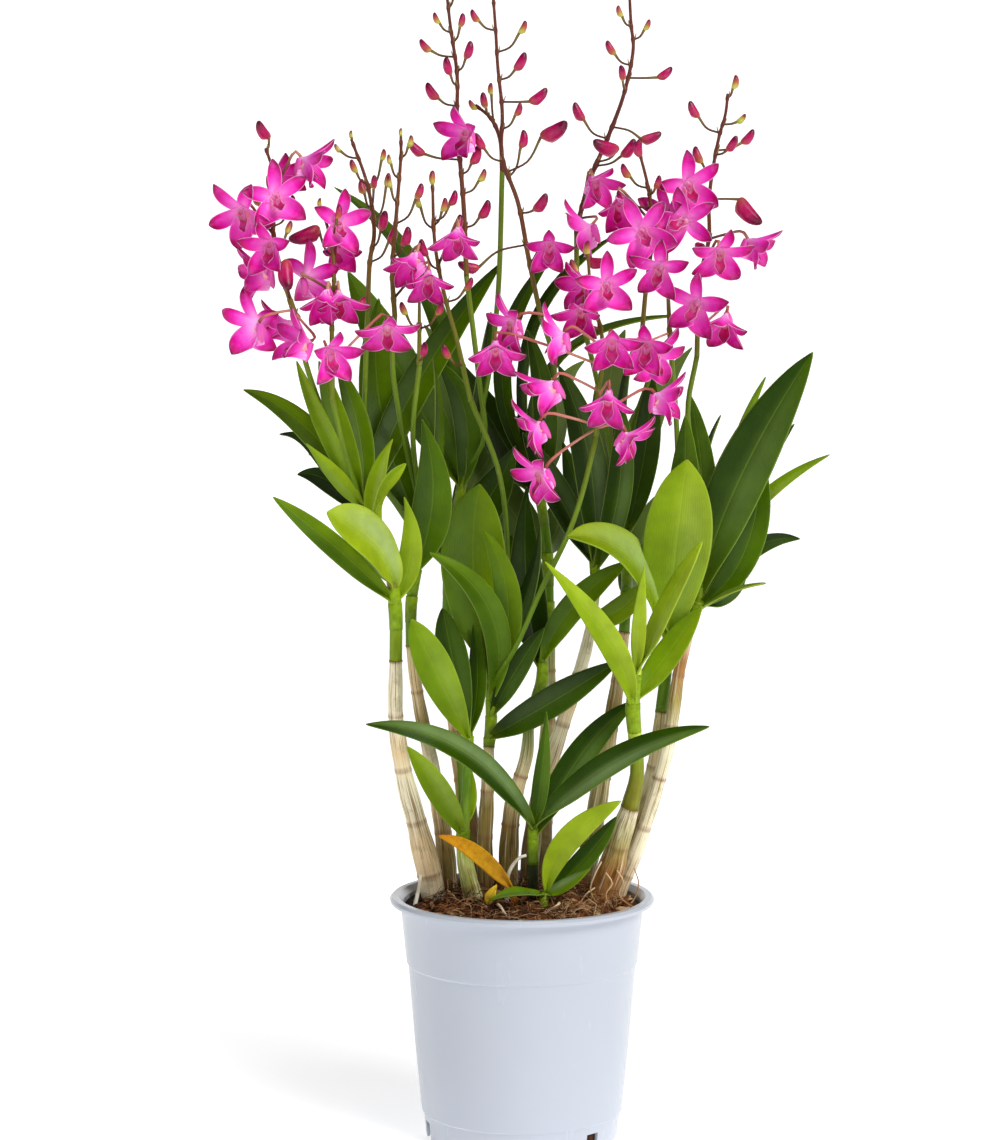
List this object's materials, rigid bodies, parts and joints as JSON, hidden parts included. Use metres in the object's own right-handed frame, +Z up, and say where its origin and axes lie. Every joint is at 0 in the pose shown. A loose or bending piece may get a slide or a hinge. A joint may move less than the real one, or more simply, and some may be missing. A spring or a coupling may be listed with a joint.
{
  "type": "potted dendrobium orchid",
  "caption": "Orchid in flower in a round tapered plastic pot: jointed canes with leafy tops stand in bark, and thin sprays of blooms and buds rise above the leaves.",
  "frame": {"origin": "centre of the pot's flat underside, which the plant stands on", "axes": "+Z up along the pot and the canes, -Y towards the front of the plant, +X to the right as seen from the front"},
  "size_m": [0.2799, 0.166, 0.5262],
  "materials": {
    "pot_plastic": "smooth glossy pale blue-grey",
    "bark": "rough shredded bark and fibre",
    "cane_skin": "dry papery sheaths, cream with grey-olive bands",
    "leaf": "satin green leaf",
    "withered_leaf": "dry yellow-brown leaf",
    "root_skin": "matt white root",
    "flower": "soft magenta petals, maroon-green stalks"
  },
  "bodies": {
    "root": {"pot": "pot_plastic", "bark_mix": "bark", "cane_1": "cane_skin", "cane_2": "cane_skin", "cane_3": "cane_skin", "cane_4": "cane_skin", "cane_5": "cane_skin", "cane_6": "cane_skin", "cane_7": "cane_skin", "cane_8": "cane_skin", "cane_9": "cane_skin", "cane_10": "cane_skin", "cane_11": "cane_skin", "cane_12": "cane_skin", "leafy_stem_1": "leaf", "leafy_stem_2": "leaf", "leafy_stem_3": "leaf", "leafy_stem_4": "leaf", "leafy_stem_5": "leaf", "leafy_stem_6": "leaf", "leafy_stem_7": "leaf", "leafy_stem_8": "leaf", "leafy_stem_9": "leaf", "leafy_stem_10": "leaf", "leafy_stem_11": "leaf", "leafy_stem_12": "leaf", "leafy_stem_13": "leaf", "leafy_stem_14": "leaf", "withered_leaf": "withered_leaf", "aerial_root_1": "root_skin", "aerial_root_2": "root_skin", "spray_1": "flower", "spray_2": "flower", "spray_3": "flower", "spray_4": "flower", "spray_5": "flower", "spray_6": "flower", "spray_7": "flower", "spray_8": "flower", "spray_9": "flower", "spray_10": "flower", "spray_11": "flower", "spray_12": "flower", "spray_13": "flower", "spray_14": "flower"}
  },
  "joints": []
}
